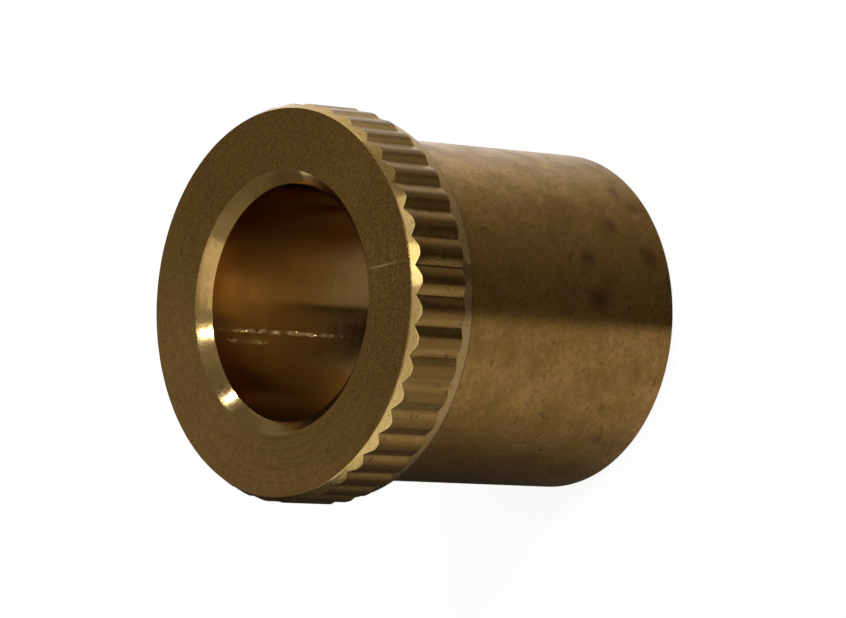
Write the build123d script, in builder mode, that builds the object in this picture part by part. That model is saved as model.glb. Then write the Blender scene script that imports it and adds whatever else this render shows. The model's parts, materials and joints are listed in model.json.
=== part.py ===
from build123d import *
import os

# Knurled insert sleeve, turned from one brass bar
# It stands on its plain end: Z is the axis, Z = 0 the plain end, and the knurled head is on top
# All sizes are in millimetres

# Lengths along the axis
sleeve_length = 15.3
knurl_length = 2.72
neck_length = 0.63

# Radii
knurl_radius = 8.0
neck_radius = 7.78
body_radius = 6.95
bore_radius = 4.78

# Lead-in cone in front of the teeth, and countersink at the bore's mouth
lead_in_depth = 0.43
lead_in_step = 0.22
mouth_depth = 0.47
mouth_step = 0.53

# Broken edges of the plain end: the outer one is rounded, the bore's is a small chamfer
tail_rounding = 0.20
tail_bore_break = 0.20

# Straight knurl: sharp V grooves between broad teeth with rounded corners
tooth_count = 42
groove_depth = 0.15
groove_width = 0.84
tooth_corner_radius = 0.40

# Heights of the two shoulders, worked down from the head face
knurl_start = sleeve_length - knurl_length
neck_start = knurl_start - neck_length

# The cutting section reaches this far outside the teeth
cutting_margin = 0.5


def from_axis(corner):
    """Distance of a section's corner from the sleeve's axis."""
    return round(Vector(corner.X, corner.Y, 0).length, 3)


# Section through the teeth: a disc with V notches round its rim and the teeth's corners rounded
notch_root = knurl_radius - groove_depth
notch_top = knurl_radius + cutting_margin
notch_half_width = groove_width / 2 * (notch_top - notch_root) / groove_depth

with BuildSketch() as toothed_disc:
    Circle(knurl_radius)
    with PolarLocations(0, tooth_count, start_angle=180 / tooth_count):
        Polygon(
            (notch_root, 0),
            (notch_top, notch_half_width),
            (notch_top, -notch_half_width),
            align=None,
            mode=Mode.SUBTRACT,
        )
    fillet(toothed_disc.vertices().group_by(from_axis)[-1], tooth_corner_radius)


with BuildPart() as insert_sleeve:
    # The turned blank is one closed profile of the wall, spun about the axis
    with BuildSketch(Plane.XZ) as wall_section:
        with BuildLine():
            Polyline(
                (bore_radius + tail_bore_break, 0),
                (body_radius, 0),
                (body_radius, neck_start),
                (neck_radius, neck_start),
                (neck_radius, knurl_start),
                (knurl_radius, knurl_start),
                (knurl_radius, sleeve_length - lead_in_depth),
                (knurl_radius - lead_in_step, sleeve_length),
                (bore_radius + mouth_step, sleeve_length),
                (bore_radius, sleeve_length - mouth_depth),
                (bore_radius, tail_bore_break),
                close=True,
            )
        make_face()
    revolve(axis=Axis.Z)
    tail_rims = insert_sleeve.edges().filter_by(GeomType.CIRCLE).group_by(Axis.Z)[0]
    fillet(tail_rims.sort_by(SortBy.RADIUS)[-1], tail_rounding)

    # The grooves run from the back wall of the teeth out through the lead-in cone, which they scallop
    with BuildSketch(Plane.XY.offset(knurl_start)) as groove_section:
        Circle(knurl_radius + cutting_margin)
        add(toothed_disc.sketch, mode=Mode.SUBTRACT)
    extrude(amount=knurl_length + cutting_margin, mode=Mode.SUBTRACT)


os.makedirs("parts", exist_ok=True)
insert_sleeve.part.label = "insert_sleeve"
export_step(insert_sleeve.part, "parts/insert_sleeve.step")
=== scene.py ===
import json
import math
import random

import bmesh
import bpy
from mathutils import Matrix, Quaternion, Vector


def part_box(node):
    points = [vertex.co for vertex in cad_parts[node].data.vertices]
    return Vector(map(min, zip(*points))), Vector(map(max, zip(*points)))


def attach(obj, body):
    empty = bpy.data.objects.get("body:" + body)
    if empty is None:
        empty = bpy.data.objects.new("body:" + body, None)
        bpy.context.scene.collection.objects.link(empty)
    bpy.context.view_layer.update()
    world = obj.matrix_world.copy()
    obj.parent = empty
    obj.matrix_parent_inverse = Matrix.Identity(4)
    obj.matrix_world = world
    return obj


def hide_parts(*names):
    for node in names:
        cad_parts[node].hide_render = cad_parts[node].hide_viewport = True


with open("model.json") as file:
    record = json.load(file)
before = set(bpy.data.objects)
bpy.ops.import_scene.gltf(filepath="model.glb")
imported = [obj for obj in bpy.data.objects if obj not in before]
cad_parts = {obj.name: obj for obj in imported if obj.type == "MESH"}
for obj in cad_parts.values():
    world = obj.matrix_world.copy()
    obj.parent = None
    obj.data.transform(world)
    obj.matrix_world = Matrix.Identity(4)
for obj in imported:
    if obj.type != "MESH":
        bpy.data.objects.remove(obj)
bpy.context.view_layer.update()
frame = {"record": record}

# Lengths in this script are millimetres, and MM turns them into Blender's metres
MM = 0.001
SLEEVE_NODE = "insert_sleeve"

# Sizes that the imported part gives
low_corner, high_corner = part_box(SLEEVE_NODE)
mounts = {mount["name"]: mount for mount in frame["record"]["mounts"]}
LENGTH = (high_corner[2] - low_corner[2]) / MM
TIP = high_corner[0] / MM
BORE = mounts["bore"]["dims"]["r_mm"]
BODY = mounts["body"]["dims"]["r_mm"]

# Sizes of the knurled head, down from its face
TEETH = 42
KNURL_LENGTH = 2.72
NECK_LENGTH = 0.63
NECK = 7.78
LEAD_IN_DEPTH = 0.43
LEAD_IN_RIM = 7.78
MOUTH_STEP = 0.53
MOUTH_DEPTH = 0.47

# The knurl's grooves. Each has its own share of the depth, drawn between the shallowest and the deepest
GROOVE_DEPTH = 0.15
GROOVE_WIDTH = 0.84
SHALLOWEST_GROOVE = 0.93
DEEPEST_GROOVE = 1.12
GROOVE_SEED = 11
LAND_ROUNDING = 0.02

# The grooves are shallower where the knurling tool ran in, at the front of the head
RUN_IN_SHARE = 0.70
RUN_IN_LENGTH = 1.2

# Broken edges of the plain end
TAIL_BREAK = 0.20
TAIL_ROUNDING = 0.20

# Small roundings of the other turned edges
EDGE_ROUNDING = 0.03
CONE_ROUNDING = 0.025
FINE_ROUNDING = 0.02
NECK_ROUNDING = 0.05
NECK_ROOT_ROUNDING = 0.06

# Heights of the shoulders above the plain end
KNURL_START = LENGTH - KNURL_LENGTH
NECK_START = KNURL_START - NECK_LENGTH
LEAD_IN_START = LENGTH - LEAD_IN_DEPTH

# Division of the mesh: the columns of each tooth's sector and the steps of each rounding
PITCH = 2 * math.pi / TEETH
TOOTH_COLUMNS = 20
EDGE_STEPS = 3
TAIL_STEPS = 8
# Points this close to each other are joined
WELD = 0.0005

# How far a finish reaches past the edges of its surface, and the least slope of the lead-in cone
FINE_REACH = 0.01
FLAT_REACH = 0.012
WALL_REACH = 0.02
CORNER_REACH = 0.05
CONE_SLOPE = 0.3


def rounded_corner(before, corner, after, radius, steps):
    """Points of the arc that rounds a corner of the wall's section."""
    to_before = (before - corner).normalized()
    to_after = (after - corner).normalized()
    half_angle = to_before.angle(to_after) / 2
    centre = corner + (to_before + to_after).normalized() * radius / math.sin(half_angle)
    start = corner + to_before * radius / math.tan(half_angle) - centre
    end = corner + to_after * radius / math.tan(half_angle) - centre
    turn = start.angle(end)
    points = []
    for step in range(steps + 1):
        ahead = turn * step / steps
        points.append(centre + (math.sin(turn - ahead) * start + math.sin(ahead) * end) / math.sin(turn))
    return points


def wall_section():
    """The wall's closed section, as points of radius and height."""
    # Each corner has its rounding, the steps of the rounding and the rows on the run to the next corner
    corners = [
        ((BORE + TAIL_BREAK, 0.0), EDGE_ROUNDING, EDGE_STEPS, 6),
        ((BODY, 0.0), TAIL_ROUNDING, TAIL_STEPS, 14),
        ((BODY, NECK_START), NECK_ROOT_ROUNDING, EDGE_STEPS, 3),
        ((NECK, NECK_START), NECK_ROUNDING, EDGE_STEPS, 3),
        ((NECK, KNURL_START), FINE_ROUNDING, EDGE_STEPS, 2),
        ((TIP, KNURL_START), EDGE_ROUNDING, EDGE_STEPS, 14),
        ((TIP, LEAD_IN_START), CONE_ROUNDING, EDGE_STEPS, 5),
        ((LEAD_IN_RIM, LENGTH), FINE_ROUNDING, EDGE_STEPS, 8),
        ((BORE + MOUTH_STEP, LENGTH), CONE_ROUNDING, EDGE_STEPS, 3),
        ((BORE, LENGTH - MOUTH_DEPTH), EDGE_ROUNDING, EDGE_STEPS, 12),
        ((BORE, TAIL_BREAK), FINE_ROUNDING, EDGE_STEPS, 2),
    ]
    arcs = []
    for index, (place, radius, steps, _) in enumerate(corners):
        before = Vector(corners[index - 1][0])
        after = Vector(corners[(index + 1) % len(corners)][0])
        arcs.append(rounded_corner(before, Vector(place), after, radius, steps))
    points = []
    for index, arc in enumerate(arcs):
        points.extend(arc)
        next_arc = arcs[(index + 1) % len(arcs)]
        rows = corners[index][3]
        for row in range(1, rows):
            points.append(arc[-1].lerp(next_arc[0], row / rows))
    return points


def spun_blank():
    """The blank: the section is spun through one tooth's pitch, and that sector is repeated all round."""
    shape = bmesh.new()
    section = [shape.verts.new((point.x * MM, 0.0, point.y * MM)) for point in wall_section()]
    outline = [shape.edges.new((section[index - 1], section[index])) for index in range(len(section))]
    centre = (0, 0, 0)
    axis = (0, 0, 1)
    bmesh.ops.spin(
        shape, geom=section + outline, cent=centre, axis=axis,
        angle=PITCH, steps=TOOTH_COLUMNS, use_merge=False,
    )
    sector = shape.verts[:] + shape.edges[:] + shape.faces[:]
    bmesh.ops.spin(
        shape, geom=sector, cent=centre, axis=axis,
        angle=PITCH * (TEETH - 1), steps=TEETH - 1, use_merge=False, use_duplicate=True,
    )
    bmesh.ops.remove_doubles(shape, verts=shape.verts, dist=WELD * MM)
    bmesh.ops.recalc_face_normals(shape, faces=shape.faces)
    return shape


def groove_cut(angle, groove_shares):
    """Depth of the knurl's cut at an angle. Grooves lie half a pitch to each side of the crest at +X."""
    place = angle / PITCH + 0.5
    groove = math.floor(place)
    pitch_length = PITCH * TIP
    along = (place - groove) * pitch_length
    cut = 0.0
    for index, distance in ((groove, along), (groove + 1, pitch_length - along)):
        flank = GROOVE_DEPTH * (groove_shares[index % TEETH] - 2 * distance / GROOVE_WIDTH)
        # The land's corners are rounded by a soft step at the top of each flank
        cut = max(cut, (flank + math.sqrt(flank * flank + LAND_ROUNDING * LAND_ROUNDING)) / 2)
    return cut


def cut_teeth(shape):
    """The knurl: points outside the neck's radius move in by the depth of the cut."""
    chance = random.Random(GROOVE_SEED)
    groove_shares = [chance.uniform(SHALLOWEST_GROOVE, DEEPEST_GROOVE) for _ in range(TEETH)]
    for vertex in shape.verts:
        radius = math.hypot(vertex.co.x, vertex.co.y) / MM
        depth = LENGTH - vertex.co.z / MM
        if radius <= NECK + WELD or depth > KNURL_LENGTH + WELD:
            continue
        run_in = min(1.0, RUN_IN_SHARE + (1 - RUN_IN_SHARE) * depth / RUN_IN_LENGTH)
        cut = groove_cut(math.atan2(vertex.co.y, vertex.co.x), groove_shares) * run_in
        fullness = 1 - cut / (TIP - NECK)
        cut_radius = NECK + (radius - NECK) * fullness
        # The lead-in cone is cut away with the teeth, so its edge comes forward in each groove
        if depth < LEAD_IN_DEPTH:
            cut_depth = depth * fullness
        else:
            edge = LEAD_IN_DEPTH * fullness
            behind = (depth - LEAD_IN_DEPTH) / (KNURL_LENGTH - LEAD_IN_DEPTH)
            cut_depth = edge + behind * (KNURL_LENGTH - edge)
        vertex.co.x *= cut_radius / radius
        vertex.co.y *= cut_radius / radius
        vertex.co.z = (LENGTH - cut_depth) * MM


def finish_of(face):
    """The name of the finish that a face has, from its place on the section."""
    middle = face.calc_center_median()
    radius = math.hypot(middle.x, middle.y) / MM
    depth = LENGTH - middle.z / MM
    if radius < BORE + WALL_REACH and depth > MOUTH_DEPTH - CORNER_REACH:
        return "bored_wall"
    if radius < BORE + MOUTH_STEP + FINE_REACH and depth < MOUTH_DEPTH + CORNER_REACH:
        return "lead_in"
    if depth < FLAT_REACH or depth > LENGTH - FLAT_REACH:
        return "faced_end"
    if radius > NECK + FINE_REACH and depth < LEAD_IN_DEPTH and abs(face.normal.z) > CONE_SLOPE:
        return "lead_in"
    if radius > NECK - WALL_REACH and depth < KNURL_LENGTH + FINE_REACH:
        return "knurl"
    return "turned_body"


def new_object(name, shape):
    """An object in the scene with the finished shape as its mesh."""
    mesh = bpy.data.meshes.new(name)
    shape.to_mesh(mesh)
    shape.free()
    holder = bpy.data.objects.new(name, mesh)
    bpy.context.scene.collection.objects.link(holder)
    return holder


def build_sleeve(finishes):
    """The sleeve's mesh, with a material for each of the finishes."""
    shape = spun_blank()
    cut_teeth(shape)
    shape.normal_update()
    names = list(finishes)
    for face in shape.faces:
        face.smooth = True
        face.material_index = names.index(finish_of(face))
    sleeve = new_object("turned_sleeve", shape)
    for name in names:
        sleeve.data.materials.append(finishes[name])
    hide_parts(SLEEVE_NODE)
    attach(sleeve, "root")


def add_node(tree, kind, settings=None, values=None):
    """A shader node with its settings and its plain input values."""
    node = tree.nodes.new(kind)
    for name, value in (settings or {}).items():
        setattr(node, name, value)
    for name, value in (values or {}).items():
        node.inputs[name].default_value = value
    return node


def feed(tree, socket, value):
    """Gives a socket a link or a plain value."""
    if isinstance(value, bpy.types.NodeSocket):
        tree.links.new(value, socket)
    else:
        socket.default_value = value


def new_group(name, inputs, outputs):
    """An empty shader node group with its number sockets, and its two end nodes."""
    group = bpy.data.node_groups.new(name, "ShaderNodeTree")
    for label in inputs:
        group.interface.new_socket(name=label, in_out="INPUT", socket_type="NodeSocketFloat")
    for label in outputs:
        group.interface.new_socket(name=label, in_out="OUTPUT", socket_type="NodeSocketFloat")
    return group, add_node(group, "NodeGroupInput"), add_node(group, "NodeGroupOutput")


def scaled_vector(tree, vector, scale):
    """A vector made longer or shorter."""
    scaled = add_node(tree, "ShaderNodeVectorMath", {"operation": "SCALE"}, {"Scale": scale})
    tree.links.new(vector, scaled.inputs[0])
    return scaled.outputs["Vector"]


def place_in_mm(tree):
    """The point on the sleeve, in millimetres."""
    place = add_node(tree, "ShaderNodeTexCoord")
    return scaled_vector(tree, place.outputs["Object"], 1 / MM)


def along_axes(tree, place):
    """The X, Y and Z of a point."""
    split = add_node(tree, "ShaderNodeSeparateXYZ")
    tree.links.new(place, split.inputs["Vector"])
    return split.outputs


def distance_from_axis(tree, place):
    """The distance of a point from the sleeve's axis."""
    flat = add_node(tree, "ShaderNodeVectorMath", {"operation": "MULTIPLY"})
    flat.inputs[1].default_value = (1.0, 1.0, 0.0)
    length = add_node(tree, "ShaderNodeVectorMath", {"operation": "LENGTH"})
    tree.links.new(place, flat.inputs[0])
    tree.links.new(flat.outputs["Vector"], length.inputs[0])
    return length.outputs["Value"]


def remap(tree, value, low, high, to_low=0.0, to_high=1.0):
    """A value taken smoothly from one range to another, held at its ends."""
    ranged = add_node(tree, "ShaderNodeMapRange", {"interpolation_type": "SMOOTHSTEP"})
    ranged.inputs["From Min"].default_value = low
    ranged.inputs["From Max"].default_value = high
    ranged.inputs["To Min"].default_value = to_low
    ranged.inputs["To Max"].default_value = to_high
    tree.links.new(value, ranged.inputs["Value"])
    return ranged.outputs["Result"]


def arithmetic(tree, operation, first, second):
    """One Math node on two values, each a link or a number."""
    node = add_node(tree, "ShaderNodeMath", {"operation": operation})
    feed(tree, node.inputs[0], first)
    feed(tree, node.inputs[1], second)
    return node.outputs[0]


def share_of(tree, mask, share):
    """A value multiplied by a plain number."""
    return arithmetic(tree, "MULTIPLY", mask, share)


def strongest(tree, masks):
    """The highest of several masks."""
    together = masks[0]
    for mask in masks[1:]:
        together = arithmetic(tree, "MAXIMUM", together, mask)
    return together


def noise(tree, place, per_mm, detail, roughness):
    """Cloudy noise, its size a link or a number."""
    texture = add_node(tree, "ShaderNodeTexNoise", values={"Detail": detail, "Roughness": roughness})
    feed(tree, texture.inputs["Scale"], per_mm)
    tree.links.new(place, texture.inputs["Vector"])
    return texture.outputs["Fac"]


def mix_colour(tree, share, first, second):
    """First colour where the share is 0, second where it is 1. Each is a link or three plain numbers."""
    node = add_node(tree, "ShaderNodeMix", {"data_type": "RGBA"})
    colours = {socket.name: socket for socket in node.inputs if socket.type == "RGBA"}
    tree.links.new(share, node.inputs["Factor"])
    for socket, colour in ((colours["A"], first), (colours["B"], second)):
        feed(tree, socket, (*colour, 1.0) if isinstance(colour, tuple) else colour)
    return next(socket for socket in node.outputs if socket.type == "RGBA")


def stain(tree, colour, mask, towards, strength=1.0):
    """A colour that goes towards another inside a mask."""
    if strength < 1.0:
        mask = share_of(tree, mask, strength)
    return mix_colour(tree, mask, colour, towards)


# How far the marks' pattern moves on for each millimetre along a mark
MARKS_DRIFT = 0.16
# Noise between these values gives the marks' darker lines
MARKS_LINES = (0.4, 0.62)


def make_turning_marks():
    """Marks of the lathe tool: fine lines that run round the axis and slowly change along their length."""
    group, given, result = new_group("turning_marks", ["Across", "Per mm"], ["Height", "Lines"])
    drift = along_axes(group, scaled_vector(group, place_in_mm(group), MARKS_DRIFT))
    joined = add_node(group, "ShaderNodeCombineXYZ")
    group.links.new(drift["X"], joined.inputs["X"])
    group.links.new(drift["Y"], joined.inputs["Y"])
    across = arithmetic(group, "MULTIPLY", given.outputs["Across"], given.outputs["Per mm"])
    group.links.new(across, joined.inputs["Z"])
    fine = noise(group, joined.outputs["Vector"], 1.0, detail=4.0, roughness=0.7)
    group.links.new(fine, result.inputs["Height"])
    group.links.new(remap(group, fine, *MARKS_LINES), result.inputs["Lines"])
    return group


SPECKLES_PER_MM = 4.5
GRAINS_PER_MM = 11.0
# Warmth and pits are moved by this much, so that they don't follow the blotches
TARNISH_SHIFT = (31.0, 17.0, 5.0)


def make_tarnish():
    """Old handling: cloudy blotches, speckles, a fine grain and scattered small pits."""
    labels = ["Blotch", "Warmth", "Speckle", "Grain", "Pits"]
    group, given, result = new_group("tarnish", ["Blotches per mm", "Pits per mm"], labels)
    blotches_per_mm = given.outputs["Blotches per mm"]
    pits_per_mm = given.outputs["Pits per mm"]
    place = place_in_mm(group)
    shift = add_node(group, "ShaderNodeVectorMath", {"operation": "ADD"})
    shift.inputs[1].default_value = TARNISH_SHIFT
    group.links.new(place, shift.inputs[0])
    moved = shift.outputs["Vector"]
    # Each noise becomes a mask, 0 below its first value and 1 above its second
    masks = {
        "Blotch": (noise(group, place, blotches_per_mm, detail=5.0, roughness=0.68), 0.28, 0.72),
        "Warmth": (noise(group, moved, blotches_per_mm, detail=3.0, roughness=0.6), 0.3, 0.7),
        "Speckle": (noise(group, place, SPECKLES_PER_MM, detail=4.0, roughness=0.75), 0.36, 0.64),
        "Grain": (noise(group, place, GRAINS_PER_MM, detail=2.0, roughness=0.6), 0.3, 0.7),
        "Pits": (noise(group, moved, pits_per_mm, detail=1.0, roughness=0.4), 0.68, 0.76),
    }
    for label, (cloud, clear, full) in masks.items():
        group.links.new(remap(group, cloud, clear, full), result.inputs[label])
    return group


TURNING_MARKS = make_turning_marks()
TARNISH = make_tarnish()


def turning_marks(tree, across, per_mm):
    """The marks' height and lines, for a distance across them."""
    marks = add_node(tree, "ShaderNodeGroup", {"node_tree": TURNING_MARKS}, {"Per mm": per_mm})
    tree.links.new(across, marks.inputs["Across"])
    return marks.outputs


def tarnish(tree, blotches_per_mm, pits_per_mm):
    """The tarnish's masks, by name."""
    values = {"Blotches per mm": blotches_per_mm, "Pits per mm": pits_per_mm}
    return add_node(tree, "ShaderNodeGroup", {"node_tree": TARNISH}, values).outputs


# A spot is clear beyond the first share of its half size and full inside the second
SPOT_CLEAR = 1.5
SPOT_FULL = 0.35
SPOT_EDGES_PER_MM = 3.0


def spot(tree, place, centre, size, ragged=0.5, turn=0.0):
    """1 inside a ragged patch: its centre and half sizes in millimetres, and its turn about Z in degrees."""
    patch = add_node(tree, "ShaderNodeMapping", {"vector_type": "TEXTURE"})
    patch.inputs["Location"].default_value = centre
    patch.inputs["Rotation"].default_value = (0, 0, math.radians(turn))
    patch.inputs["Scale"].default_value = size
    tree.links.new(place, patch.inputs["Vector"])
    away = add_node(tree, "ShaderNodeVectorMath", {"operation": "LENGTH"})
    tree.links.new(patch.outputs["Vector"], away.inputs[0])
    edge = noise(tree, place, SPOT_EDGES_PER_MM, detail=3.0, roughness=0.6)
    reach = arithmetic(tree, "ADD", away.outputs["Value"], share_of(tree, edge, ragged))
    return remap(tree, reach, SPOT_CLEAR, SPOT_FULL)


def spots(tree, place, patches):
    """The strongest of several spots, each given by its centre and half sizes."""
    return strongest(tree, [spot(tree, place, centre, size) for centre, size in patches])


# The long-way blur turns by a quarter, so that it lies across the marks that run round the axis
BLUR_TURN = 0.25
COAT_ROUGHNESS = 0.3


def brass(name, anisotropic, coat):
    """A metal material with the long-way blur that marks running round the axis give."""
    material = bpy.data.materials.new(name)
    material.use_nodes = True
    tree = material.node_tree
    shader = tree.nodes["Principled BSDF"]
    shader.inputs["Metallic"].default_value = 1.0
    shader.inputs["Anisotropic"].default_value = anisotropic
    shader.inputs["Anisotropic Rotation"].default_value = BLUR_TURN
    shader.inputs["Coat Weight"].default_value = coat
    shader.inputs["Coat Roughness"].default_value = COAT_ROUGHNESS
    round_axis = add_node(tree, "ShaderNodeTangent", {"direction_type": "RADIAL", "axis": "Z"})
    tree.links.new(round_axis.outputs["Tangent"], shader.inputs["Tangent"])
    return material, tree, shader


def add_roughness(tree, shader, mask, smoothest, roughest):
    """Roughness that follows a mask."""
    tree.links.new(remap(tree, mask, 0.0, 1.0, smoothest, roughest), shader.inputs["Roughness"])


def add_relief(tree, shader, height, depth, strength):
    """Fine relief: a height of 1 stands up by the depth, in millimetres."""
    bump = add_node(tree, "ShaderNodeBump", values={"Strength": strength, "Distance": depth * MM})
    tree.links.new(height, bump.inputs["Height"])
    tree.links.new(bump.outputs["Normal"], shader.inputs["Normal"])


# Brass that the finishes share
OLIVE = (0.32, 0.19, 0.04)
GOLD = (0.63, 0.385, 0.10)
PINK = (0.62, 0.355, 0.15)
BROWN = (0.20, 0.105, 0.032)
PALE = (0.66, 0.46, 0.21)

# Pits and nicks go down by this many times the height of the marks and the grain
HOLLOW_DEPTH = 1.5

# Dark smudges on the body: centre and half sizes in millimetres
SMUDGES = [
    ((5.70, -3.95, 1.45), (0.45, 0.45, 0.35)),
    ((5.15, -4.65, 0.95), (0.35, 0.35, 0.30)),
    ((6.50, -2.40, 2.35), (0.30, 0.30, 0.25)),
    ((4.38, -5.39, 2.80), (0.55, 0.50, 0.45)),
    ((3.25, -6.14, 1.10), (0.70, 0.60, 0.60)),
    ((3.05, -6.24, 4.65), (0.60, 0.50, 0.50)),
    ((1.43, -6.80, 4.25), (0.60, 0.60, 0.90)),
    ((-2.99, -6.28, 2.98), (0.22, 0.22, 0.18)),
    ((-4.34, -5.43, 2.12), (0.30, 0.30, 0.25)),
]
# A bruise on the neck with a bare ding in it, given in the same way
BRUISE = ((2.2, -7.46, 12.3), (0.55, 0.4, 0.3))
DING = ((2.59, -7.34, 12.1), (0.13, 0.2, 0.12))
DING_METAL = (0.85, 0.6, 0.28)

# Heights from the neck's shoulder where its paler metal comes in, and where the painted shade in the corner
# at the neck's step comes and goes
PALE_NECK = (-0.10, 0.05)
CORNER_SHADE_COMES = (-0.35, -0.05)
CORNER_SHADE_GOES = (0.13, 0.06)


def from_shoulder(tree, height, clear, full):
    """A mask by the height from the neck's shoulder."""
    return remap(tree, height, NECK_START + clear, NECK_START + full)


def turned_body_finish():
    """The smooth sleeve and the neck: fine turning marks under cloudy tarnish."""
    material, tree, shader = brass("turned_body", anisotropic=0.8, coat=0.15)
    place = place_in_mm(tree)
    height = along_axes(tree, place)["Z"]
    old = tarnish(tree, blotches_per_mm=0.75, pits_per_mm=2.6)
    marks = turning_marks(tree, height, per_mm=7.0)
    colour = mix_colour(tree, old["Warmth"], GOLD, PINK)
    colour = stain(tree, colour, old["Blotch"], OLIVE, strength=0.9)
    colour = stain(tree, colour, old["Speckle"], OLIVE, strength=0.65)
    colour = stain(tree, colour, spots(tree, place, SMUDGES), BROWN, strength=0.75)
    colour = stain(tree, colour, from_shoulder(tree, height, *PALE_NECK), PALE, strength=0.85)
    colour = stain(tree, colour, spot(tree, place, *BRUISE, ragged=0.4), BROWN, strength=0.7)
    colour = stain(tree, colour, spot(tree, place, *DING, ragged=0.3), DING_METAL)
    # Painted shade: a dark band across the corner at the foot of the neck's step, where the step shades the
    # body
    corner = arithmetic(
        tree, "MULTIPLY",
        from_shoulder(tree, height, *CORNER_SHADE_COMES),
        from_shoulder(tree, height, *CORNER_SHADE_GOES),
    )
    colour = stain(tree, colour, corner, BROWN, strength=0.8)
    colour = stain(tree, colour, old["Pits"], BROWN, strength=0.6)
    tree.links.new(colour, shader.inputs["Base Color"])
    add_roughness(tree, shader, old["Blotch"], smoothest=0.22, roughest=0.30)
    relief = arithmetic(tree, "SUBTRACT", marks["Height"], share_of(tree, old["Pits"], HOLLOW_DEPTH))
    relief = arithmetic(tree, "ADD", relief, share_of(tree, old["Grain"], 0.5))
    add_relief(tree, shader, relief, depth=0.006, strength=0.35)
    return material


FACE_OLIVE = (0.38, 0.235, 0.06)
FACE_BLOTCH = (0.31, 0.185, 0.044)
FACE_PAINTED_SHADE = (0.22, 0.13, 0.034)
FACE_PAINTED_LIGHT = (0.68, 0.44, 0.16)

# Painted shade: the face grows darker over this run of Y
SHADED_Y = (-2.0, -7.5)
# Painted light: it grows lighter over this run of X, which leans by a share of Y
LIT_X = (2.5, -8.0)
LIT_LEAN = -0.25

# A bright scratch on the head face: centre and half sizes, and its turn about Z in degrees
SCRATCH = ((2.1, -5.85, LENGTH), (0.05, 0.95, 1.0))
SCRATCH_TURN = 15
SCRATCH_METAL = (0.85, 0.6, 0.25)


def faced_end_finish():
    """The flat ends: rings left by facing, over a dull olive brown."""
    material, tree, shader = brass("faced_end", anisotropic=0.7, coat=0.2)
    place = place_in_mm(tree)
    axes = along_axes(tree, place)
    old = tarnish(tree, blotches_per_mm=0.6, pits_per_mm=4.0)
    rings = turning_marks(tree, distance_from_axis(tree, place), per_mm=7.0)
    colour = mix_colour(tree, old["Blotch"], FACE_OLIVE, FACE_BLOTCH)
    # Painted shade towards -Y and painted light towards -X across the flat face
    colour = stain(tree, colour, remap(tree, axes["Y"], *SHADED_Y), FACE_PAINTED_SHADE, strength=0.95)
    lit_leaning = arithmetic(tree, "ADD", axes["X"], share_of(tree, axes["Y"], LIT_LEAN))
    colour = stain(tree, colour, remap(tree, lit_leaning, *LIT_X), FACE_PAINTED_LIGHT)
    colour = stain(tree, colour, rings["Lines"], BROWN, strength=0.35)
    colour = stain(tree, colour, old["Speckle"], BROWN, strength=0.45)
    colour = stain(tree, colour, old["Grain"], GOLD, strength=0.6)
    scratch = spot(tree, place, *SCRATCH, ragged=0.4, turn=SCRATCH_TURN)
    colour = stain(tree, colour, scratch, SCRATCH_METAL)
    colour = stain(tree, colour, old["Pits"], BROWN, strength=0.5)
    tree.links.new(colour, shader.inputs["Base Color"])
    add_roughness(tree, shader, rings["Lines"], smoothest=0.32, roughest=0.42)
    relief = arithmetic(tree, "ADD", rings["Height"], share_of(tree, old["Grain"], 0.6))
    add_relief(tree, shader, relief, depth=0.010, strength=0.5)
    return material


BORE_METAL = (0.76, 0.53, 0.23)
BORE_BLOTCH = (0.64, 0.42, 0.16)
BORE_PAINTED_SHADE = (0.15, 0.06, 0.022)
STREAK_GLINT_METAL = (0.72, 0.5, 0.21)

# Painted shade along one side of the bore, towards its mouth: it comes in over these runs of X and Z
SIDE_SHADE_X = (1.2, 2.8)
SIDE_SHADE_Z = (5.0, 7.5)
SIDE_SHADE_STRENGTH = 0.92
# A patch of painted shade deeper on the far wall: centre and half sizes in millimetres
DEEP_SHADE = ((-1.3, 4.6, 6.0), (1.4, 3.0, 3.4))

# Torn streaks along the bore, where the lamp glints and their paler metal is a painted highlight: angle
# about the axis in degrees, height and half length in millimetres
STREAKS = [(109, 11.3, 3.4), (114.5, 12.9, 1.4)]
STREAK_HALF_WIDTH = 0.1
STREAK_SPARKLES_PER_MM = 3.5
# Noise between these values breaks the streaks up into sparkles
STREAK_SPARKLE = (0.40, 0.62)


def bore_streaks(tree, place):
    """The mask of the torn streaks, broken up into sparkles: it carries their relief and their painted
    highlight.
    """
    streaks = []
    for angle, height, half_length in STREAKS:
        turn = math.radians(angle)
        centre = (BORE * math.cos(turn), BORE * math.sin(turn), height)
        size = (STREAK_HALF_WIDTH, STREAK_HALF_WIDTH, half_length)
        streaks.append(spot(tree, place, centre, size, ragged=0.25))
    sparkles = noise(tree, place, STREAK_SPARKLES_PER_MM, detail=3.0, roughness=0.7)
    return arithmetic(tree, "MULTIPLY", strongest(tree, streaks), remap(tree, sparkles, *STREAK_SPARKLE))


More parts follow.
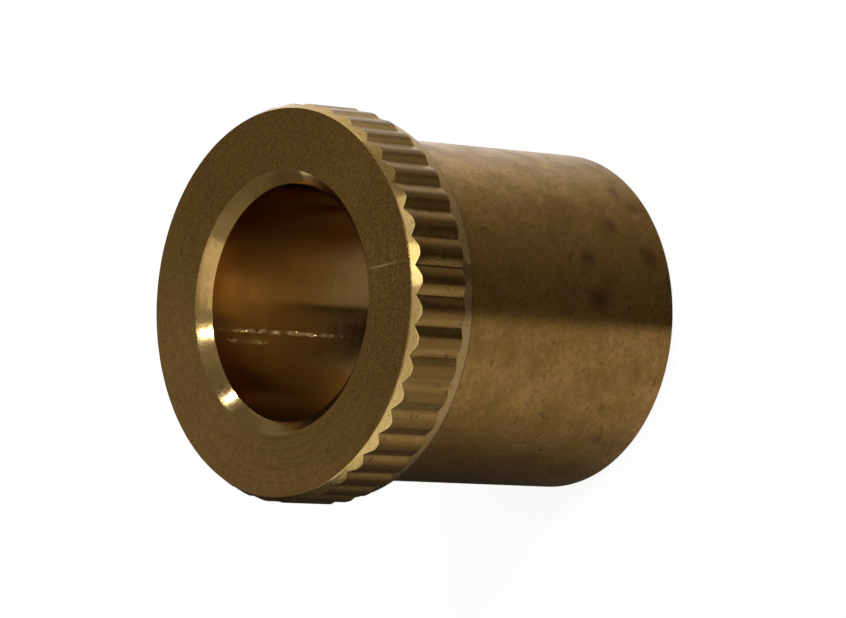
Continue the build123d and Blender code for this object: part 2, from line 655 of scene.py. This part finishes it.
def bored_wall_finish():
    """The bore: a warm, cleaner metal with painted shade on one side and in a deeper patch, and two torn
    streaks along it whose relief glints and whose paler metal is a painted highlight.
    """
    material, tree, shader = brass("bored_wall", anisotropic=0.85, coat=0.05)
    place = place_in_mm(tree)
    axes = along_axes(tree, place)
    old = tarnish(tree, blotches_per_mm=0.5, pits_per_mm=2.5)
    marks = turning_marks(tree, axes["Z"], per_mm=5.0)
    colour = mix_colour(tree, old["Blotch"], BORE_METAL, BORE_BLOTCH)
    colour = stain(tree, colour, marks["Lines"], OLIVE, strength=0.15)
    side_shade = share_of(tree, remap(tree, axes["X"], *SIDE_SHADE_X), SIDE_SHADE_STRENGTH)
    side_shade = arithmetic(tree, "MULTIPLY", side_shade, remap(tree, axes["Z"], *SIDE_SHADE_Z))
    deep_shade = spot(tree, place, *DEEP_SHADE, ragged=0.6)
    # Painted shade: the wall is darkened along one side near the mouth and in a patch deeper down
    colour = stain(tree, colour, strongest(tree, [side_shade, deep_shade]), BORE_PAINTED_SHADE)
    streaks = bore_streaks(tree, place)
    # Painted highlight: the streaks' paler metal stands for the lamp's glint, on top of the real glints from
    # their relief
    colour = stain(tree, colour, streaks, STREAK_GLINT_METAL)
    tree.links.new(colour, shader.inputs["Base Color"])
    add_roughness(tree, shader, old["Blotch"], smoothest=0.13, roughest=0.19)
    # Only the streaks have relief, up and down from the smooth wall
    torn = arithmetic(tree, "SUBTRACT", marks["Height"], 0.5)
    relief = arithmetic(tree, "MULTIPLY", streaks, torn)
    add_relief(tree, shader, relief, depth=0.35, strength=1.0)
    return material


CONE_METAL = (0.66, 0.47, 0.18)
CONE_BLOTCH = (0.56, 0.38, 0.13)


def lead_in_finish():
    """The cut cones at the head's two edges: the brightest metal, lightly torn by the tool."""
    material, tree, shader = brass("lead_in", anisotropic=0.75, coat=0.1)
    place = place_in_mm(tree)
    old = tarnish(tree, blotches_per_mm=1.2, pits_per_mm=5.0)
    marks = turning_marks(tree, distance_from_axis(tree, place), per_mm=9.0)
    colour = mix_colour(tree, old["Blotch"], CONE_METAL, CONE_BLOTCH)
    colour = stain(tree, colour, old["Pits"], BROWN, strength=0.5)
    tree.links.new(colour, shader.inputs["Base Color"])
    add_roughness(tree, shader, old["Grain"], smoothest=0.12, roughest=0.19)
    relief = arithmetic(tree, "ADD", marks["Height"], share_of(tree, old["Blotch"], 0.5))
    add_relief(tree, shader, relief, depth=0.005, strength=0.3)
    return material


FLANK_METAL = (0.55, 0.365, 0.12)
FLANK_WARM = (0.53, 0.34, 0.13)
LAND_METAL = (0.34, 0.205, 0.066)
LAND_DARK = (0.19, 0.115, 0.04)

# A tooth's land begins this far inside the teeth's tips, and dirt fills this much above the neck's radius
LAND_BELOW_TIP = (0.09, 0.02)
ROOT_DIRT_ABOVE_NECK = (0.11, 0.06)
# The lands grow darker towards +X over this run of X
DARKER_LAND_X = (1.5, 6.5)

# Small nicks on the teeth: centre and half sizes in millimetres
NICKS = [
    ((-3.66, -7.09, 13.95), (0.16, 0.16, 0.10)),
    ((-3.26, -7.28, 13.50), (0.20, 0.20, 0.08)),
    ((-4.68, -6.47, 14.70), (0.14, 0.14, 0.12)),
    ((-4.23, -6.77, 14.30), (0.18, 0.18, 0.08)),
    ((6.10, -5.17, 14.20), (0.16, 0.16, 0.10)),
    ((5.30, -5.99, 13.30), (0.12, 0.12, 0.12)),
]


def knurl_finish():
    """The teeth: dull lands, dirt in the roots and small nicks."""
    material, tree, shader = brass("knurl", anisotropic=0.0, coat=0.1)
    place = place_in_mm(tree)
    old = tarnish(tree, blotches_per_mm=1.6, pits_per_mm=3.2)
    from_axis = distance_from_axis(tree, place)
    flank = mix_colour(tree, old["Warmth"], FLANK_METAL, FLANK_WARM)
    darker_lands = remap(tree, along_axes(tree, place)["X"], *DARKER_LAND_X)
    land = stain(tree, LAND_METAL, darker_lands, LAND_DARK, strength=0.7)
    on_land = remap(tree, from_axis, *(TIP - depth for depth in LAND_BELOW_TIP))
    colour = mix_colour(tree, on_land, flank, land)
    colour = stain(tree, colour, old["Blotch"], OLIVE, strength=0.35)
    colour = stain(tree, colour, old["Grain"], OLIVE, strength=0.3)
    in_root = remap(tree, from_axis, *(NECK + height for height in ROOT_DIRT_ABOVE_NECK))
    colour = stain(tree, colour, in_root, BROWN, strength=0.5)
    colour = stain(tree, colour, old["Pits"], BROWN, strength=0.8)
    nicks = spots(tree, place, NICKS)
    colour = stain(tree, colour, nicks, BROWN, strength=0.8)
    tree.links.new(colour, shader.inputs["Base Color"])
    add_roughness(tree, shader, old["Blotch"], smoothest=0.18, roughest=0.3)
    relief = arithmetic(tree, "SUBTRACT", old["Grain"], share_of(tree, old["Pits"], HOLLOW_DEPTH))
    relief = arithmetic(tree, "SUBTRACT", relief, share_of(tree, nicks, HOLLOW_DEPTH))
    add_relief(tree, shader, relief, depth=0.008, strength=0.4)
    return material


# The photograph's viewpoint: where it aims, from how far, how it is turned in degrees, and its lens
CAMERA_AIM = (0.12, 0.0, 7.61)
CAMERA_DISTANCE = 213.8
CAMERA_AZIMUTH = 3.82
CAMERA_ELEVATION = 42.15
CAMERA_ROLL = -86.07
CAMERA_LENS = 222.4
CAMERA_SENSOR = 36.0
CAMERA_NEAREST = 10.0
CAMERA_FARTHEST = 5000.0


def direction(azimuth, elevation):
    """Unit vector towards an azimuth, 0 at -Y and growing towards +X, and an elevation, in degrees."""
    across = math.cos(math.radians(elevation))
    turn = math.radians(azimuth)
    return Vector((math.sin(turn) * across, -math.cos(turn) * across, math.sin(math.radians(elevation))))


def facing(back):
    """Rotation of a camera, lamp or card that looks along -back."""
    return (-back).to_track_quat("-Z", "Y")


def make_camera():
    """The camera at the photograph's viewpoint."""
    back = direction(CAMERA_AZIMUTH, CAMERA_ELEVATION)
    lens = bpy.data.cameras.new("camera")
    lens.sensor_width = CAMERA_SENSOR
    lens.lens = CAMERA_LENS
    lens.clip_start = CAMERA_NEAREST * MM
    lens.clip_end = CAMERA_FARTHEST * MM
    camera = bpy.data.objects.new("camera", lens)
    bpy.context.scene.collection.objects.link(camera)
    camera.location = (Vector(CAMERA_AIM) + back * CAMERA_DISTANCE) * MM
    camera.rotation_mode = "QUATERNION"
    camera.rotation_quaternion = facing(back) @ Quaternion((0, 0, 1), math.radians(CAMERA_ROLL))
    bpy.context.scene.camera = camera


LAMP_DISTANCE = 400.0
LAMP_WIDTH = 30.0
# Each lamp's direction from the sleeve, and its power
LAMPS = {
    "front_lamp": ((0.42, -0.49, 0.807), 0.27),
    "side_lamp": ((0.906, 0.173, 0.571), 0.2),
}


def make_lamp(name, towards, power):
    """A round lamp that shines on the sleeve."""
    lamp = bpy.data.lights.new(name, "AREA")
    lamp.shape = "DISK"
    lamp.size = LAMP_WIDTH * MM
    lamp.energy = power
    holder = bpy.data.objects.new(name, lamp)
    bpy.context.scene.collection.objects.link(holder)
    back = Vector(towards).normalized()
    holder.location = back * LAMP_DISTANCE * MM
    holder.rotation_mode = "QUATERNION"
    holder.rotation_quaternion = facing(back)
    holder.visible_camera = False


def seen_directly(tree):
    """1 for rays from the camera and for reflections, 0 for light that lands on a surface."""
    path = add_node(tree, "ShaderNodeLightPath")
    rays = ("Is Camera Ray", "Is Glossy Ray", "Is Transmission Ray")
    return strongest(tree, [path.outputs[ray] for ray in rays])


# Light that the pale room gives, and how bright it looks
WORLD_LIGHT = 0.6
WORLD_SEEN = 1.0
WHITE = (1.0, 1.0, 1.0, 1.0)


def make_world():
    """A plain white room round the sleeve."""
    world = bpy.data.worlds.new("pale_room")
    bpy.context.scene.world = world
    world.use_nodes = True
    tree = world.node_tree
    background = tree.nodes["Background"]
    background.inputs["Color"].default_value = WHITE
    level = add_node(tree, "ShaderNodeMapRange", values={"To Min": WORLD_LIGHT, "To Max": WORLD_SEEN})
    tree.links.new(seen_directly(tree), level.inputs["Value"])
    tree.links.new(level.outputs["Result"], background.inputs["Strength"])


FLOOR_SIZE = 1000.0
FLOOR_PAPER = (0.9, 0.9, 0.9, 1.0)
# Share of plain white in the floor where it is seen directly, and how bright that white is
FLOOR_WHITE = 0.78
FLOOR_GLOW = 1.12


def make_floor():
    """A white floor that still takes the sleeve's shadow."""
    shape = bmesh.new()
    bmesh.ops.create_grid(shape, x_segments=1, y_segments=1, size=FLOOR_SIZE * MM)
    floor = new_object("floor", shape)
    material = bpy.data.materials.new("floor")
    material.use_nodes = True
    tree = material.node_tree
    tree.nodes.remove(tree.nodes["Principled BSDF"])
    paper = add_node(tree, "ShaderNodeBsdfDiffuse", values={"Color": FLOOR_PAPER})
    glow = add_node(tree, "ShaderNodeEmission", values={"Color": WHITE, "Strength": FLOOR_GLOW})
    blend = add_node(tree, "ShaderNodeMixShader")
    tree.links.new(share_of(tree, seen_directly(tree), FLOOR_WHITE), blend.inputs["Fac"])
    tree.links.new(paper.outputs["BSDF"], blend.inputs[1])
    tree.links.new(glow.outputs["Emission"], blend.inputs[2])
    tree.links.new(blend.outputs["Shader"], tree.nodes["Material Output"].inputs["Surface"])
    floor.data.materials.append(material)


def only_reflected(card):
    """A card is seen only in the brass: not by the camera, and it neither lights nor shades the floor."""
    card.visible_camera = False
    card.visible_diffuse = False
    card.visible_shadow = False


def card_material(name, shade):
    """A plain glowing shade."""
    material = bpy.data.materials.new(name)
    material.use_nodes = True
    tree = material.node_tree
    tree.nodes.remove(tree.nodes["Principled BSDF"])
    glow = add_node(tree, "ShaderNodeEmission", values={"Color": (*shade, 1.0), "Strength": 1.0})
    tree.links.new(glow.outputs["Emission"], tree.nodes["Material Output"].inputs["Surface"])
    return material


# Upright cards that the brass mirrors: turn from the camera's side towards +X and elevation in degrees,
# then distance, width, height and shade
CARDS = {
    "front_card": (24, 11, 260, 95, 80, (2.3, 2.28, 2.3)),
    "left_card": (-24, 52, 300, 240, 110, (0.8, 0.72, 0.66)),
    "right_card": (78, 5, 400, 260, 100, (0.25, 0.22, 0.18)),
    "back_left_card": (-125, 5, 700, 560, 330, (0.11, 0.085, 0.055)),
    "back_card": (165, 5, 700, 1300, 330, (0.22, 0.20, 0.17)),
}


def make_card(name, turn, elevation, distance, width, height, shade):
    """An oblong card that faces the sleeve."""
    shape = bmesh.new()
    # The grid starts one millimetre across, so the width and height scale it to the card's size
    bmesh.ops.create_grid(shape, x_segments=1, y_segments=1, size=0.5 * MM)
    bmesh.ops.scale(shape, vec=(width, height, 1), verts=shape.verts)
    back = direction(CAMERA_AZIMUTH + turn, elevation)
    place = Matrix.Translation(back * distance * MM) @ facing(back).to_matrix().to_4x4()
    bmesh.ops.transform(shape, matrix=place, verts=shape.verts)
    card = new_object(name, shape)
    card.data.materials.append(card_material(name, shade))
    only_reflected(card)


# Shades of the table that the brass mirrors, by the angle from the camera's side towards +X in degrees
TABLE_SHADES = [
    (-180, 0.28), (-160, 0.06), (-134, 0.02), (-100, 0.08), (-80, 0.22), (-54, 0.42), (-6, 0.38),
    (3, 0.05), (30, 0.05), (60, 0.17), (80, 0.27), (120, 0.8), (145, 1.05), (160, 0.9), (180, 0.28),
]
# Shades of the table inside the bore, by the same angle
BORE_END_SHADES = [
    (-180, 0.5), (-130, 0.38), (-80, 0.22), (-55, 0.2), (-3, 0.2), (3, 0.02), (22, 0.11),
    (48, 0.09), (65, 0.03), (85, 0.06), (105, 0.3), (135, 0.5), (165, 0.55), (180, 0.5),
]
# Shades of the ceiling, by the same angle
CEILING_SHADES = [
    (-180, 0.19), (-140, 0.17), (-110, 0.15), (-75, 0.28), (-50, 0.32), (0, 0.30),
    (60, 0.25), (100, 0.12), (140, 0.17), (180, 0.19),
]
# Dark shades are warm and light ones nearly white
SHADOW_TINT = Vector((1.0, 0.86, 0.66))
LIGHT_TINT = Vector((1.0, 0.98, 0.96))

# Height and radius of each disc, and how far its shades' centre is on the camera's side of the axis
TABLE_HEIGHT = 0.02
TABLE_RADIUS = 300.0
TABLE_CENTRE = 3.8
BORE_END_HEIGHT = 0.1
BORE_END_RADIUS = BORE + TAIL_BREAK - BORE_END_HEIGHT
CEILING_HEIGHT = 600.0
CEILING_RADIUS = 3000.0
DISC_CORNERS = 96


def set_shades(ramp, shades):
    """Gives a colour ramp a stop for each angle, with its tinted shade."""
    stops = ramp.color_ramp.elements
    while len(stops) > 1:
        stops.remove(stops[-1])
    for index, (angle, level) in enumerate(shades):
        position = (angle + 180) / 360
        stop = stops[0] if index == 0 else stops.new(position)
        stop.position = position
        tint = SHADOW_TINT.lerp(LIGHT_TINT, min(level, 1.0))
        stop.color = (*(tint * level), 1.0)


def make_shaded_disc(name, height, radius, centre_ahead, shades):
    """A level disc card whose shade turns about a point on the camera's side of the axis."""
    shape = bmesh.new()
    bmesh.ops.create_circle(shape, cap_ends=True, segments=DISC_CORNERS, radius=radius * MM)
    bmesh.ops.translate(shape, vec=(0, 0, height * MM), verts=shape.verts)
    card = new_object(name, shape)
    material = card_material(name, (1.0, 1.0, 1.0))
    tree = material.node_tree
    place = add_node(tree, "ShaderNodeTexCoord")
    # The gradient's angle is 0 along its own X, which is turned to the camera's side
    turned = add_node(tree, "ShaderNodeMapping", {"vector_type": "TEXTURE"})
    turned.inputs["Location"].default_value = direction(CAMERA_AZIMUTH, 0) * centre_ahead * MM
    turned.inputs["Rotation"].default_value = (0, 0, math.radians(CAMERA_AZIMUTH - 90))
    sweep = add_node(tree, "ShaderNodeTexGradient", {"gradient_type": "RADIAL"})
    ramp = add_node(tree, "ShaderNodeValToRGB")
    set_shades(ramp, shades)
    tree.links.new(place.outputs["Object"], turned.inputs["Vector"])
    tree.links.new(turned.outputs["Vector"], sweep.inputs["Vector"])
    tree.links.new(sweep.outputs["Fac"], ramp.inputs["Fac"])
    tree.links.new(ramp.outputs["Color"], tree.nodes["Emission"].inputs["Color"])
    card.data.materials.append(material)
    only_reflected(card)


bpy.context.scene.view_settings.view_transform = "Standard"
make_camera()
build_sleeve({
    "faced_end": faced_end_finish(),
    "lead_in": lead_in_finish(),
    "bored_wall": bored_wall_finish(),
    "knurl": knurl_finish(),
    "turned_body": turned_body_finish(),
})
make_world()
make_floor()
make_shaded_disc("table_card", TABLE_HEIGHT, TABLE_RADIUS, TABLE_CENTRE, TABLE_SHADES)
make_shaded_disc("bore_end_card", BORE_END_HEIGHT, BORE_END_RADIUS, 0.0, BORE_END_SHADES)
make_shaded_disc("ceiling_card", CEILING_HEIGHT, CEILING_RADIUS, 0.0, CEILING_SHADES)
for name, card in CARDS.items():
    make_card(name, *card)
for name, (towards, power) in LAMPS.items():
    make_lamp(name, towards, power)
